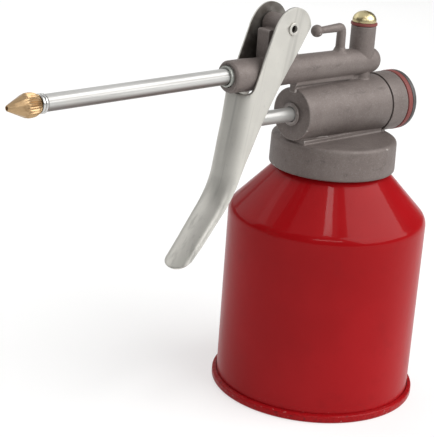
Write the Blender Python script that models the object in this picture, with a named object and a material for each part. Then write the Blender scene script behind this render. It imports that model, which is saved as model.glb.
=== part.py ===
"""Pump oil can: a seamed steel can, a die-cast pump head, a rigid spout and a squeeze lever.

The can's axis is vertical and the spout points along -X.  Dimensions are in millimetres and are
scaled to metres as each mesh is made.  Every height is measured from the surface the can stands on,
and every X from the can's axis.
"""

import math

import bmesh
import bpy
from mathutils import Matrix, Vector

MM = 0.001
GAP = 0.3                  # clearance kept between neighbouring pieces

# Can
CAN_R = 40.0
SHEET = 0.5
SEAM_R = 41.9
SEAM_TOP = 3.4
BASE_RECESS = 3.4
SHOULDER_Z = 75.25         # height where the wall and the shoulder cone would meet
SHOULDER_FILLET = 6.0
SHOULDER_SLOPE = 0.95      # radius lost per unit of height
NECK_R = 22.3
NECK_TOP = 102.2

# Screw cap, the lower part of the head casting
CAP_R = 25.2
CAP_TOP_R = 24.9
CAP_BOTTOM = 94.3
CAP_TOP = 107.0
CAP_BORE_R = 23.0
CAP_ROOF = 104.0
SCREW_PITCH = 3.5

# Pump barrel, along X
BARREL_Z = 117.9
BARREL_FRONT = -24.8
BARREL_FRONT_R = 10.35
BARREL_REAR = 19.7
BARREL_REAR_R = 11.5
GROOVE_R = 11.1
COLLAR_R = 12.0
COLLAR_REAR = 28.9
BORE_R = 7.5
BORE_FRONT = -21.5
BORE_REAR = 20.0
PLUG_BORE_R = 9.9
ROD_R = 2.75
ROD_TIP = -55.45
ROD_HOLE_R = 3.05
SEAL_POCKET_R = 3.65
BOSS_R = 4.5
BOSS_FRONT = -25.6
SADDLE_HALF = 7.0
SADDLE_TOP = 108.7

# Discharge tube, valve column and hook
TUBE_Z = 135.7
TUBE_FRONT = -59.2
TUBE_REAR = 15.2           # centre of the rounded rear end
COLUMN_X = 10.8
COLUMN_R = 4.95
COLUMN_TOP = 149.9
LOWER_COLUMN_X = 12.0
LOWER_COLUMN_R = 3.4
OUTLET_SEAT = 132.0
VALVE_BORE_R = 2.6
PASSAGE_R = 1.2
HOOK_X = -1.5
HOOK_Z = 150.0
HOOK_BALL = (-15.0, 149.5)

# Lever and its pivot
PIVOT_X = -34.5
PIVOT_Z = 153.0
LEVER_T = 1.0
LEVER_HALF = 7.2           # half of the width over the cheeks
LEVER_HEAD_R = 8.5
PIVOT_BOSS_R = 4.4
PIVOT_BOSS_HALF = 5.6
RIVET_R = 1.9
RIVET_BORE_R = 1.35
RIVET_HEAD_R = 2.4

# Spout
SPOUT_R = 3.0
SPOUT_BORE_R = 2.0
SPOUT_END = -138.7
COLLAR_END = -141.2
NOZZLE_TIP = -153.2
NOZZLE_R = 4.25
NOZZLE_FLATS = 10
NOZZLE_TEETH = 28
SPOUT_DROOP = 0.98         # degrees that the spout slopes down to the nozzle
SPOUT_LEVEL_X = -77.0      # where the sloping spout crosses the discharge tube's axis

# The frame's origin lies under the middle of the whole object's length
CAN_AXIS_X = (-NOZZLE_TIP - SEAM_R) / 2

ROUND = 56                 # segments round the can and cap
MEDIUM = 40
SMALL = 24


# ---------------------------------------------------------------- helpers

def clear_scene():
    for obj in list(bpy.data.objects):
        bpy.data.objects.remove(obj, do_unlink=True)


def material(name, colour, roughness, metallic):
    mat = bpy.data.materials.new(name)
    mat.use_nodes = True
    shader = mat.node_tree.nodes["Principled BSDF"]
    shader.inputs["Base Color"].default_value = (*colour, 1.0)
    shader.inputs["Roughness"].default_value = roughness
    shader.inputs["Metallic"].default_value = metallic
    mat.diffuse_color = (*colour, 1.0)
    return mat


def empty(name, position, parent=None):
    """An empty at a position in millimetres, measured like everything else from the can's foot."""
    obj = bpy.data.objects.new(name, None)
    bpy.context.collection.objects.link(obj)
    obj.empty_display_size = 10 * MM
    place(obj, position, parent)
    return obj


def place(obj, position, parent):
    origin = Vector(position)
    obj["origin_mm"] = tuple(origin)
    if parent is None:
        obj.location = origin * MM
    else:
        obj.parent = parent
        obj.location = (origin - Vector(parent["origin_mm"])) * MM


def solid(name, bm, mat, parent, origin=None, sharp_angle=35.0):
    """Turns a bmesh, drawn in millimetres, into a finished object with its origin at `origin`."""
    origin = Vector(parent["origin_mm"] if origin is None else origin)
    bmesh.ops.translate(bm, verts=bm.verts, vec=-origin)
    bmesh.ops.scale(bm, verts=bm.verts, vec=(MM, MM, MM))
    mesh = bpy.data.meshes.new(name)
    bm.to_mesh(mesh)
    bm.free()
    mesh.materials.append(mat)
    mesh.shade_smooth()
    mesh.set_sharp_from_angle(angle=math.radians(sharp_angle))
    obj = bpy.data.objects.new(name, mesh)
    bpy.context.collection.objects.link(obj)
    place(obj, origin, parent)
    return obj


def lathe(profile, segments=MEDIUM):
    """Turns a closed loop of (radius, height) points about Z. Points on the axis become poles."""
    bm = bmesh.new()
    rings = []
    for radius, height in profile:
        if radius < 1e-6:
            rings.append([bm.verts.new((0, 0, height))])
            continue
        ring = []
        for k in range(segments):
            turn = 2 * math.pi * k / segments
            ring.append(bm.verts.new((radius * math.cos(turn), radius * math.sin(turn), height)))
        rings.append(ring)
    stitch(bm, rings, segments)
    return bm


def stitch(bm, rings, segments):
    """Joins each ring to the next, and the last to the first, with faces that point outwards."""
    for lower, upper in zip(rings, rings[1:] + rings[:1]):
        for k in range(segments):
            after = (k + 1) % segments
            corners = [lower[k % len(lower)], lower[after % len(lower)],
                       upper[after % len(upper)], upper[k % len(upper)]]
            corners = list(dict.fromkeys(corners))
            if len(corners) > 2:
                bm.faces.new(corners)
    bmesh.ops.recalc_face_normals(bm, faces=bm.faces)


def along_x(bm, z=BARREL_Z):
    """Lays a turned shape down, so that its height becomes X, and lifts its axis to z."""
    bmesh.ops.rotate(bm, verts=bm.verts, cent=(0, 0, 0), matrix=Matrix.Rotation(math.pi / 2, 3, "Y"))
    bmesh.ops.translate(bm, verts=bm.verts, vec=(0, 0, z))
    return bm


def along_spout(bm):
    """Lays a turned shape along the spout's axis, which droops a little towards the nozzle."""
    bm = along_x(bm, TUBE_Z)
    droop = Matrix.Rotation(-math.radians(SPOUT_DROOP), 3, "Y")
    bmesh.ops.rotate(bm, verts=bm.verts, cent=(SPOUT_LEVEL_X, 0, TUBE_Z), matrix=droop)
    return bm


def along_y(bm, x, z):
    """Lays a turned shape down along Y, with its axis through (x, z)."""
    bmesh.ops.rotate(bm, verts=bm.verts, cent=(0, 0, 0), matrix=Matrix.Rotation(-math.pi / 2, 3, "X"))
    bmesh.ops.translate(bm, verts=bm.verts, vec=(x, 0, z))
    return bm


def moved(bm, x=0, y=0, z=0):
    bmesh.ops.translate(bm, verts=bm.verts, vec=(x, y, z))
    return bm


def rod_shape(radius, low, high, segments=SMALL):
    return lathe([(0, low), (radius, low), (radius, high), (0, high)], segments)


def ball_shape(radius, segments=SMALL):
    steps = segments // 2
    profile = []
    for k in range(steps + 1):
        turn = math.pi * k / steps
        profile.append((radius * math.sin(turn), -radius * math.cos(turn)))
    return lathe(profile, segments)


def box_shape(low, high):
    bm = bmesh.new()
    bmesh.ops.create_cube(bm, size=1.0)
    size = Vector(high) - Vector(low)
    bmesh.ops.scale(bm, verts=bm.verts, vec=size)
    bmesh.ops.translate(bm, verts=bm.verts, vec=(Vector(high) + Vector(low)) / 2)
    return bm


def plate_shape(outline, half_width):
    """A closed (x, z) outline, extruded to both sides of the plane y = 0."""
    bm = bmesh.new()
    near = [bm.verts.new((x, -half_width, z)) for x, z in outline]
    far = [bm.verts.new((x, half_width, z)) for x, z in outline]
    bm.faces.new(near)
    bm.faces.new(far)
    for k in range(len(outline)):
        after = (k + 1) % len(outline)
        bm.faces.new((near[k], near[after], far[after], far[k]))
    bmesh.ops.recalc_face_normals(bm, faces=bm.faces)
    return bm


def arc(centre, radius, start, end, steps):
    """Points on an arc, with angles in degrees."""
    points = []
    for k in range(steps + 1):
        turn = math.radians(start + (end - start) * k / steps)
        points.append((centre[0] + radius * math.cos(turn), centre[1] + radius * math.sin(turn)))
    return points


def swept_tube(points, radius, sides):
    """A closed tube of constant radius along a list of 3-D points."""
    bm = bmesh.new()
    rings = []
    normal = None
    for k, point in enumerate(points):
        ahead = points[min(k + 1, len(points) - 1)] - points[max(k - 1, 0)]
        ahead.normalize()
        if normal is None:
            normal = ahead.orthogonal().normalized()
        normal = (normal - ahead * normal.dot(ahead)).normalized()
        side = ahead.cross(normal)
        ring = []
        for s in range(sides):
            turn = 2 * math.pi * s / sides
            ring.append(bm.verts.new(point + radius * (math.cos(turn) * normal + math.sin(turn) * side)))
        rings.append(ring)
    for lower, upper in zip(rings, rings[1:]):
        for s in range(sides):
            after = (s + 1) % sides
            bm.faces.new((lower[s], lower[after], upper[after], upper[s]))
    bm.faces.new(rings[0])
    bm.faces.new(rings[-1])
    bmesh.ops.recalc_face_normals(bm, faces=bm.faces)
    return bm


def spring_shape(low, high, coil_radius, wire_radius, turns, steps_per_turn, sides):
    """A helical spring about Z whose end coils lie flat."""
    steps = int(turns * steps_per_turn)
    rise = high - low - 2 * wire_radius
    points = []
    for k in range(steps + 1):
        share = k / steps
        eased = min(max((share * turns - 0.8) / (turns - 1.6), 0.0), 1.0)
        height = low + wire_radius + rise * (0.07 * share + 0.93 * eased)
        turn = 2 * math.pi * turns * share
        points.append(Vector((coil_radius * math.cos(turn), coil_radius * math.sin(turn), height)))
    return swept_tube(points, wire_radius, sides)


def scratch_object(bm):
    mesh = bpy.data.meshes.new("scratch")
    bm.to_mesh(mesh)
    bm.free()
    obj = bpy.data.objects.new("scratch", mesh)
    bpy.context.collection.objects.link(obj)
    return obj


def combine(base, tools, operation):
    """Joins, cuts or intersects a bmesh with others, one after another, and returns the result."""
    for tool in tools:
        target = scratch_object(base)
        cutter = scratch_object(tool)
        step = target.modifiers.new("step", "BOOLEAN")
        step.operation = operation
        step.solver = "EXACT"
        step.object = cutter
        graph = bpy.context.evaluated_depsgraph_get()
        result = bpy.data.meshes.new_from_object(target.evaluated_get(graph))
        base = bmesh.new()
        base.from_mesh(result)
        bmesh.ops.remove_doubles(base, verts=base.verts, dist=0.0005)
        bmesh.ops.dissolve_degenerate(base, edges=base.edges, dist=0.0005)
        bpy.data.objects.remove(cutter, do_unlink=True)
        bpy.data.objects.remove(target, do_unlink=True)
    return base


# ---------------------------------------------------------------- can

def shoulder_profile(offset):
    """The wall, shoulder and neck as (radius, height) points, from the foot up, moved in by offset."""
    slope_angle = math.degrees(math.atan(SHOULDER_SLOPE))
    tangent = SHOULDER_FILLET * math.tan(math.radians(slope_angle / 2))
    centre = (CAN_R - SHOULDER_FILLET, SHOULDER_Z - tangent)
    points = arc(centre, SHOULDER_FILLET - offset, 0, slope_angle, 5)
    neck_z = SHOULDER_Z + (CAN_R - NECK_R) / SHOULDER_SLOPE
    neck_fillet = 2.0
    neck_tangent = neck_fillet * math.tan(math.radians(slope_angle / 2))
    neck_centre = (NECK_R + neck_fillet, neck_z + neck_tangent)
    points += arc(neck_centre, neck_fillet + offset, 180 + slope_angle, 180, 3)
    return points


def can_shell(mat, parent):
    outer = [(SEAM_R - 0.9, 0.9), (SEAM_R - 0.9, 1.4), (CAN_R, 1.9)] + shoulder_profile(0.0)
    inner = [(CAN_R - SHEET, 0.9)] + shoulder_profile(SHEET)
    lip = [(NECK_R, NECK_TOP - 1.2), (NECK_R + 0.4, NECK_TOP - 0.6), (NECK_R, NECK_TOP)]
    profile = outer + lip + [(NECK_R - SHEET - 0.4, NECK_TOP), (NECK_R - SHEET, NECK_TOP - 1.0)]
    profile += inner[::-1]
    solid("can_shell", lathe(profile, ROUND), mat, parent)


def can_base(mat, parent):
    """The bottom's recessed panel, its wall and the curl of the seam, as one turned sheet."""
    panel_r = CAN_R - 2.1
    profile = [
        (0, BASE_RECESS), (panel_r, BASE_RECESS), (panel_r + 0.6, BASE_RECESS - 0.6), (panel_r + 0.7, 0.7),
        (panel_r + 1.4, 0), (SEAM_R - 0.7, 0), (SEAM_R, 0.7), (SEAM_R, 2.4), (SEAM_R - 0.4, 3.1),
        (CAN_R + GAP, SEAM_TOP), (CAN_R + GAP, SEAM_TOP - 0.5), (SEAM_R - 0.6, 2.5), (SEAM_R - 0.5, 1.0),
        (SEAM_R - 0.9, 0.5), (CAN_R - 0.4, 0.5), (CAN_R - SHEET - GAP, 0.9),
        (CAN_R - SHEET - GAP, BASE_RECESS + SHEET), (0, BASE_RECESS + SHEET),
    ]
    solid("can_base", lathe(profile, ROUND), mat, parent)


def neck_gasket(mat, parent):
    low = NECK_TOP + GAP
    high = CAP_ROOF - GAP
    profile = [(17.6, low), (NECK_R + 0.3, low), (NECK_R + 0.3, high), (17.6, high)]
    solid("neck_gasket", lathe(profile, MEDIUM), mat, parent)


# ---------------------------------------------------------------- pump head casting

def cap_shape():
    profile = [
        (0, CAP_ROOF), (CAP_BORE_R, CAP_ROOF), (CAP_BORE_R, CAP_BOTTOM), (CAP_R - 1.0, CAP_BOTTOM),
        (CAP_R, CAP_BOTTOM + 1.0), (CAP_TOP_R, CAP_TOP - 1.6), (CAP_TOP_R - 0.5, CAP_TOP - 0.5),
        (CAP_TOP_R - 1.6, CAP_TOP), (0, CAP_TOP),
    ]
    return lathe(profile, 48)


def barrel_shape():
    profile = [
        (0, BARREL_FRONT), (BARREL_FRONT_R - 0.5, BARREL_FRONT), (BARREL_FRONT_R, BARREL_FRONT + 0.6),
        (BARREL_REAR_R, BARREL_REAR), (GROOVE_R, BARREL_REAR + 0.1), (GROOVE_R, BARREL_REAR + 0.5),
        (COLLAR_R, BARREL_REAR + 0.7), (COLLAR_R, COLLAR_REAR), (0, COLLAR_REAR),
    ]
    return along_x(lathe(profile, 40))


def tube_shape():
    profile = [
        (0, TUBE_FRONT), (5.4, TUBE_FRONT), (6.05, TUBE_FRONT + 1.0), (6.15, TUBE_FRONT + 8.0),
        (5.35, -24.0), (5.2, TUBE_REAR),
    ]
    profile += [(5.2 * math.cos(math.radians(a)), TUBE_REAR + 4.8 * math.sin(math.radians(a)))
                for a in (20, 40, 60, 78)]
    profile += [(0, TUBE_REAR + 4.8)]
    return along_x(lathe(profile, 32), TUBE_Z)


def hook_shape():
    """Post, arm and ball of the hanging hook that is cast on the tube."""
    bend = 1.6
    points = [Vector((HOOK_X, 0, TUBE_Z + 2)), Vector((HOOK_X, 0, HOOK_Z - bend - 1.0))]
    points += [Vector((x, 0, z)) for x, z in arc((HOOK_X - bend, HOOK_Z - bend), bend, 15, 90, 4)]
    points += [Vector((HOOK_BALL[0], 0, HOOK_BALL[1]))]
    arm = swept_tube(points, 1.75, 16)
    foot = moved(lathe([(0, TUBE_Z), (2.5, TUBE_Z), (2.5, 141.0), (1.9, 142.2), (0, 142.2)], 20), x=HOOK_X)
    ball = moved(ball_shape(2.4, 20), HOOK_BALL[0], 0, HOOK_BALL[1])
    return combine(arm, [foot, ball], "UNION")


def pump_head(mat, parent):
    rib = box_shape((-25.6, -1.5, 126.5), (9.0, 1.5, 133.0))
    rib_bead = box_shape((-26.2, -2.9, 129.6), (4.7, 2.9, 131.5))
    saddle = box_shape((BARREL_FRONT + 1.4, -SADDLE_HALF, CAP_ROOF + 1), (21.5, SADDLE_HALF, SADDLE_TOP))
    lug = plate_shape([(-43.0, TUBE_Z), (-43.0, 151.7), (-42.4, 152.3), (-38.0, 152.3), (PIVOT_X, 153.5),
                       (-30.6, 151.0), (-27.6, 144.5), (-25.0, TUBE_Z)], 3.0)
    column = moved(rod_shape(COLUMN_R, TUBE_Z - 1.0, COLUMN_TOP, 32), x=COLUMN_X)
    lower_column = moved(rod_shape(LOWER_COLUMN_R, 124.0, TUBE_Z, 24), x=LOWER_COLUMN_X)
    boss = along_x(lathe([(0, BOSS_FRONT), (BOSS_R - 0.4, BOSS_FRONT), (BOSS_R, BOSS_FRONT + 0.4),
                          (BOSS_R, BARREL_FRONT + 1), (0, BARREL_FRONT + 1)], 32))
    pivot_boss = along_y(rod_shape(PIVOT_BOSS_R, -PIVOT_BOSS_HALF, PIVOT_BOSS_HALF, 32), PIVOT_X, PIVOT_Z)
    suction_boss = moved(rod_shape(5.2, 99.0, CAP_ROOF + 1, 32), x=COLUMN_X)
    body = combine(cap_shape(), [saddle, barrel_shape(), boss, suction_boss, tube_shape(), rib, rib_bead, lug,
                                 pivot_boss, column, lower_column, hook_shape()], "UNION")

    barrel_bore = along_x(rod_shape(BORE_R, BORE_FRONT, COLLAR_REAR + 1, 36))
    plug_bore = along_x(rod_shape(PLUG_BORE_R, BORE_REAR, COLLAR_REAR + 1, 36))
    rod_hole = along_x(rod_shape(ROD_HOLE_R, BOSS_FRONT - 1, BORE_FRONT + 1))
    seal_pocket = along_x(rod_shape(SEAL_POCKET_R, BOSS_FRONT - 1, BOSS_FRONT + 2.3))
    spout_bore = along_x(rod_shape(1.6, TUBE_FRONT - 1, COLUMN_X), TUBE_Z)
    spout_socket = along_spout(rod_shape(SPOUT_R + GAP, TUBE_FRONT - 1, TUBE_FRONT + 10))
    ferrule_socket = along_spout(rod_shape(4.2, TUBE_FRONT - 1, TUBE_FRONT + 2.2))
    valve_bore = moved(rod_shape(VALVE_BORE_R, OUTLET_SEAT, COLUMN_TOP + 1), x=COLUMN_X)
    plug_thread = moved(rod_shape(3.5, 146.0, COLUMN_TOP + 1), x=COLUMN_X)
    passage = moved(rod_shape(PASSAGE_R, BARREL_Z + 5, OUTLET_SEAT + 1, 16), x=COLUMN_X)
    ball_pocket = moved(rod_shape(2.5, 104.5, BARREL_Z - 5), x=COLUMN_X)
    fitting_bore = moved(rod_shape(3.5, 98.0, 105.3), x=COLUMN_X)
    rivet_hole = along_y(rod_shape(RIVET_R + 0.25, -8, 8), PIVOT_X, PIVOT_Z)
    body = combine(body, [barrel_bore, plug_bore, rod_hole, seal_pocket, spout_bore, spout_socket,
                          ferrule_socket, valve_bore, plug_thread, passage, ball_pocket, fitting_bore,
                          rivet_hole], "DIFFERENCE")
    solid("pump_head", body, mat, parent)


# ---------------------------------------------------------------- pump parts

def end_plug(mat, parent):
    """Cup-shaped plug: its shank enters the barrel, and its flange closes the gasket."""
    flange = COLLAR_REAR + 2.8
    rear = 34.0
    profile = [
        (6.3, 21.5), (PLUG_BORE_R - GAP, 21.5), (PLUG_BORE_R - GAP, flange), (12.1, flange),
        (12.1, rear - 1.0), (11.4, rear - 0.3), (10.4, rear), (0, rear), (0, 26.5), (6.3, 26.5),
    ]
    body = along_x(lathe(profile, MEDIUM))
    slot = box_shape((rear - 1.3, -9.0, BARREL_Z - 1.2), (rear + 1, 9.0, BARREL_Z + 1.2))
    solid("end_plug", combine(body, [slot], "DIFFERENCE"), mat, parent)


def ring(name, mat, parent, inner, outer, low, high, segments=MEDIUM, lay=None, origin=None):
    """A plain turned ring between two radii and two heights."""
    bm = lathe([(inner, low), (outer, low), (outer, high), (inner, high)], segments)
    if lay:
        bm = lay(bm)
    return solid(name, bm, mat, parent, origin)


def return_spring(mat, parent):
    bm = spring_shape(-8.6, 26.2, 5.2, 0.6, 9, 12, 5)
    solid("return_spring", along_x(bm), mat, parent)


def piston_group(mats, parent):
    tip_r = ROD_R
    thread_r = 1.85
    shoulder = -18.6
    rod = [(0, ROD_TIP)]
    rod += [(tip_r * math.sin(math.radians(a)), ROD_TIP + tip_r * (1 - math.cos(math.radians(a))))
            for a in (25, 50, 72)]
    rod += [(ROD_R, ROD_TIP + tip_r), (ROD_R, shoulder), (thread_r, shoulder), (thread_r, -5.2), (0, -5.2)]
    origin = (0, 0, BARREL_Z)
    solid("piston_rod", along_x(lathe(rod, SMALL)), mats["rod"], parent, origin)
    hole = thread_r + 0.2
    piston = [(hole, -18.3), (6.4, -18.3), (7.2, -17.5), (7.2, -13.4), (hole, -13.4)]
    solid("piston", along_x(lathe(piston, 32)), mats["brass"], parent, origin)
    cup = [(hole, -13.1), (6.9, -13.1), (7.3, -12.5), (7.3, -9.4), (6.5, -9.4), (6.5, -11.7), (hole, -11.7)]
    solid("piston_cup", along_x(lathe(cup, 32)), mats["cup"], parent, origin)
    ring("cup_washer", mats["steel"], parent, hole, 6.2, -11.4, -10.2, 32, along_x, origin)
    nut = combine(along_x(rod_shape(3.7, -9.9, -6.9, 6)), [along_x(rod_shape(hole, -11, -5))], "DIFFERENCE")
    solid("piston_nut", nut, mats["steel"], parent, origin)


def suction_parts(mats, parent):
    x = COLUMN_X
    at = (x, 0, 0)
    fitting = [(1.3, 105.0), (1.3, 103.6), (2.8, 103.3), (2.8, 97.0), (4.4, 97.0), (4.4, 98.7), (3.2, 98.7),
               (3.2, 105.0)]
    solid("suction_fitting", moved(lathe(fitting, SMALL), x=x), mats["brass"], parent, at)
    tube = [(1.9, 9.0), (2.5, 9.0), (2.5, 103.0), (1.9, 103.0)]
    solid("suction_tube", moved(lathe(tube, 20), x=x), mats["tube"], parent, at)
    strainer = [(1.0, 5.0), (4.0, 5.0), (4.4, 5.6), (4.4, 12.0), (3.4, 14.0), (2.8, 14.0), (2.8, 8.4),
                (3.6, 7.6), (3.6, 6.0), (1.0, 6.0)]
    solid("suction_strainer", moved(lathe(strainer, SMALL), x=x), mats["brass"], parent, at)
    retainer = [(1.1, 109.5), (2.35, 109.5), (2.35, 110.0), (1.1, 110.0)]
    solid("ball_retainer", moved(lathe(retainer, SMALL), x=x), mats["steel"], parent, at)


def outlet_parts(mats, parent):
    x = COLUMN_X
    at = (x, 0, 0)
    low = COLUMN_TOP + 1.5
    dome = [(4.75, low), (4.75, low + 0.5)]
    dome += [(4.75 * math.cos(math.radians(a)), low + 0.5 + 3.75 * math.sin(math.radians(a)))
             for a in (15, 30, 45, 60, 75)]
    profile = [(0, 147.6), (3.2, 147.6), (3.2, low)] + dome + [(0, low + 4.25)]
    body = moved(lathe(profile, 32), x=x)
    slot = box_shape((x - 0.55, -6, low + 3.35), (x + 0.55, 6, low + 5.5))
    solid("outlet_plug", combine(body, [slot], "DIFFERENCE"), mats["plug"], parent, at)
    washer = [(3.6, COLUMN_TOP + 0.2), (5.25, COLUMN_TOP + 0.2), (5.25, COLUMN_TOP + 1.3), (3.6, COLUMN_TOP + 1.3)]
    solid("outlet_washer", moved(lathe(washer, 32), x=x), mats["fibre"], parent, at)
    coil = spring_shape(135.9, 147.3, 1.9, 0.28, 7, 10, 4)
    solid("outlet_spring", moved(coil, x=x), mats["steel"], parent, at)


def check_ball(name, radius, z, mat, parent):
    centre = (COLUMN_X, 0, z)
    solid(name, moved(ball_shape(radius, 16), *centre), mat, parent, centre)


# ---------------------------------------------------------------- spout

def spout_parts(mats, parent):
    at = (0, 0, TUBE_Z)
    tube = [(SPOUT_BORE_R, SPOUT_END), (SPOUT_R, SPOUT_END), (SPOUT_R, TUBE_FRONT + 9.7),
            (SPOUT_BORE_R, TUBE_FRONT + 9.7)]
    solid("spout_tube", along_spout(lathe(tube, SMALL)), mats["steel"], parent, at)
    ferrule = [(SPOUT_R + 0.15, -60.4), (3.6, -60.4), (3.95, -59.9), (3.95, -57.3), (SPOUT_R + 0.15, -57.3)]
    solid("spout_ferrule", along_spout(lathe(ferrule, 32)), mats["steel"], parent, at)
    bead = [(3.25, COLLAR_END), (3.45, COLLAR_END + 0.35), (3.45, COLLAR_END + 0.9), (3.2, COLLAR_END + 1.15),
            (3.45, COLLAR_END + 1.4), (3.45, COLLAR_END + 1.95), (3.2, SPOUT_END - 0.2)]
    collar = [(1.1, COLLAR_END - 3.5), (1.9, COLLAR_END - 3.5), (1.9, COLLAR_END)] + bead
    collar += [(1.75, SPOUT_END - 0.2), (1.75, SPOUT_END + 4.0), (1.1, SPOUT_END + 4.0)]
    solid("nozzle_collar", along_spout(lathe(collar, SMALL)), mats["steel"], parent, at)
    solid("spout_nozzle", along_spout(nozzle_shape()), mats["nozzle"], parent, at)


def nozzle_shape():
    """Cone with flats in front of a serrated grip that narrows to the collar."""
    cone_end = -146.2
    rear = COLLAR_END - 0.2
    stations = [(NOZZLE_TIP, 1.0, 1.0, 0.0), (cone_end - 0.7, 4.05, 0.8, 0.0), (cone_end + 0.3, NOZZLE_R, 0.0, 0.45),
                (-143.2, 4.1, 0.0, 0.45), (-142.2, 3.65, 0.0, 0.35), (rear, 3.3, 0.0, 0.1)]
    bore = [(rear, 2.2), (-148.3, 2.2), (-149.6, 0.7), (NOZZLE_TIP, 0.7)]
    segments = 2 * NOZZLE_TEETH
    flat_step = 2 * math.pi / NOZZLE_FLATS
    bm = bmesh.new()
    rings = []
    for x, radius, flat_share, tooth in stations + [(x, radius, 0.0, 0.0) for x, radius in bore]:
        circle = []
        for k in range(segments):
            turn = 2 * math.pi * k / segments
            flat = math.cos(flat_step / 2) / math.cos(turn % flat_step - flat_step / 2)
            reach = radius * (1 - flat_share * (1 - flat)) - tooth * (k % 2)
            circle.append(bm.verts.new((reach * math.cos(turn), reach * math.sin(turn), x)))
        rings.append(circle)
    stitch(bm, rings, segments)
    return bm


# ---------------------------------------------------------------- lever

# Lever path: a straight channel, a bend and a straight handle, as seen from the side
LEVER_TOP = (-49.1, 160.0)
LEVER_LEAN = 10.8          # degrees from the vertical, foot forwards
CHANNEL_LENGTH = 62.0
BEND_RADIUS = 30.0
HANDLE_LEAN = 36.0
HANDLE_LENGTH = 26.2
# Depth of the channel behind its front face, at distances along the path
DEPTH_STATIONS = [(-9, 28.5), (0, 25.2), (12, 20.7), (25, 15.4), (40, 10.4), (50, 7.8), (60, 5.4), (72, 3.6),
                  (90, 3.0), (103, 2.4)]


def lever_frame(s):
    """Point and rearward direction of the lever's front centre line at distance s."""
    lean = math.radians(LEVER_LEAN)
    bend = math.radians(HANDLE_LEAN - LEVER_LEAN)
    straight = min(s, CHANNEL_LENGTH)
    x = LEVER_TOP[0] - straight * math.sin(lean)
    z = LEVER_TOP[1] - straight * math.cos(lean)
    turned = min(max(s - CHANNEL_LENGTH, 0.0) / BEND_RADIUS, bend)
    x -= BEND_RADIUS * (math.cos(lean) - math.cos(lean + turned))
    z -= BEND_RADIUS * (math.sin(lean + turned) - math.sin(lean))
    rest = max(s - CHANNEL_LENGTH - BEND_RADIUS * bend, 0.0)
    lean += turned
    x -= rest * math.sin(lean)
    z -= rest * math.cos(lean)
    return Vector((x, 0, z)), Vector((math.cos(lean), 0, -math.sin(lean)))


def lever_depth(s):
    for (s0, d0), (s1, d1) in zip(DEPTH_STATIONS, DEPTH_STATIONS[1:]):
        if s <= s1:
            return d0 + (d1 - d0) * (s - s0) / (s1 - s0)
    return DEPTH_STATIONS[-1][1]


def lever_half(s):
    """Half of the lever's width: the handle narrows a little."""
    return LEVER_HALF - 0.7 * min(max((s - 70.0) / 30.0, 0.0), 1.0)


def lever_section(s):
    """(y, depth) points across the sheet's outer face, from the near edge to the far edge."""
    half = lever_half(s)
    depth = lever_depth(s)
    blend = min(max((s - 48.0) / 28.0, 0.0), 1.0)
    corner = 3.4 + 1.6 * min(max((s - 28.0) / 14.0, 0.0), 1.0)
    corner_y = corner + (half - 0.3 - corner) * blend
    corner_d = min(corner + (depth - corner) * blend, depth * 0.98)
    side = [(half, depth), (half, (depth + corner_d) / 2)]
    side += [(half - corner_y * (1 - math.cos(math.radians(a))), corner_d * (1 - math.sin(math.radians(a))))
             for a in (0, 22, 45, 68, 90)]
    web = [(0.0, 0.0)]
    return [(-y, d) for y, d in side] + web + side[::-1]


def lever_blank():
    """The whole channel as a solid sheet: a grid for the outer face and one for the inner face."""
    bend = math.radians(HANDLE_LEAN - LEVER_LEAN)
    length = CHANNEL_LENGTH + BEND_RADIUS * bend + HANDLE_LENGTH
    stations = [-9, 10, 25, 40, 50, 56, 62, 66, 70, 75, 82, 90, 94, 97.5, 99.5, length]
    tip_start = 90.0
    round_tip = 5.4
    outer = []
    for s in stations:
        row = []
        for y, depth in lever_section(s):
            shortened = round_tip * (1 - math.sqrt(max(1 - (y / lever_half(s)) ** 2, 0)))
            reach = s
            if s > tip_start:
                reach = tip_start + (s - tip_start) * (length - shortened - tip_start) / (length - tip_start)
            point, rearward = lever_frame(reach)
            row.append(point + rearward * depth + Vector((0, y, 0)))
        outer.append(row)
    bm = bmesh.new()
    grid = [[bm.verts.new(point) for point in row] for row in outer]
    for upper, lower in zip(grid, grid[1:]):
        for k in range(len(upper) - 1):
            bm.faces.new((upper[k], upper[k + 1], lower[k + 1], lower[k]))
    bmesh.ops.recalc_face_normals(bm, faces=bm.faces)
    target = scratch_object(bm)
    shell = target.modifiers.new("sheet", "SOLIDIFY")
    shell.thickness = LEVER_T
    shell.use_even_offset = True
    shell.offset = -1.0
    graph = bpy.context.evaluated_depsgraph_get()
    mesh = bpy.data.meshes.new_from_object(target.evaluated_get(graph))
    bpy.data.objects.remove(target, do_unlink=True)
    result = bmesh.new()
    result.from_mesh(mesh)
    bmesh.ops.recalc_face_normals(result, faces=result.faces)
    return result


def lever(mat, parent):
    """The sheet, cut to the cheeks' rounded heads and cut away in front for the discharge tube."""
    head = arc((PIVOT_X + 0.5, PIVOT_Z - 0.6), LEVER_HEAD_R, -14, 125, 15)
    head += [(-40.4, 158.2), (-41.6, 156.7), (-42.65, 155.1), (-43.5, 153.2)]
    cut = [(-51.2, 132.6), (-51.7, 131.4), (-52.6, 130.3), (-53.6, 129.7), (-54.4, 129.4), (-80, 129.4)]
    outline = plate_shape([(-120, 40), (-20, 40), (-20, 148)] + head + cut, 12)
    hole = along_y(rod_shape(RIVET_R + 0.25, -12, 12), PIVOT_X, PIVOT_Z)
    body = combine(lever_blank(), [outline], "INTERSECT")
    body = combine(body, [hole], "DIFFERENCE")
    solid("lever", body, mat, parent, (PIVOT_X, 0, PIVOT_Z))


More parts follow.
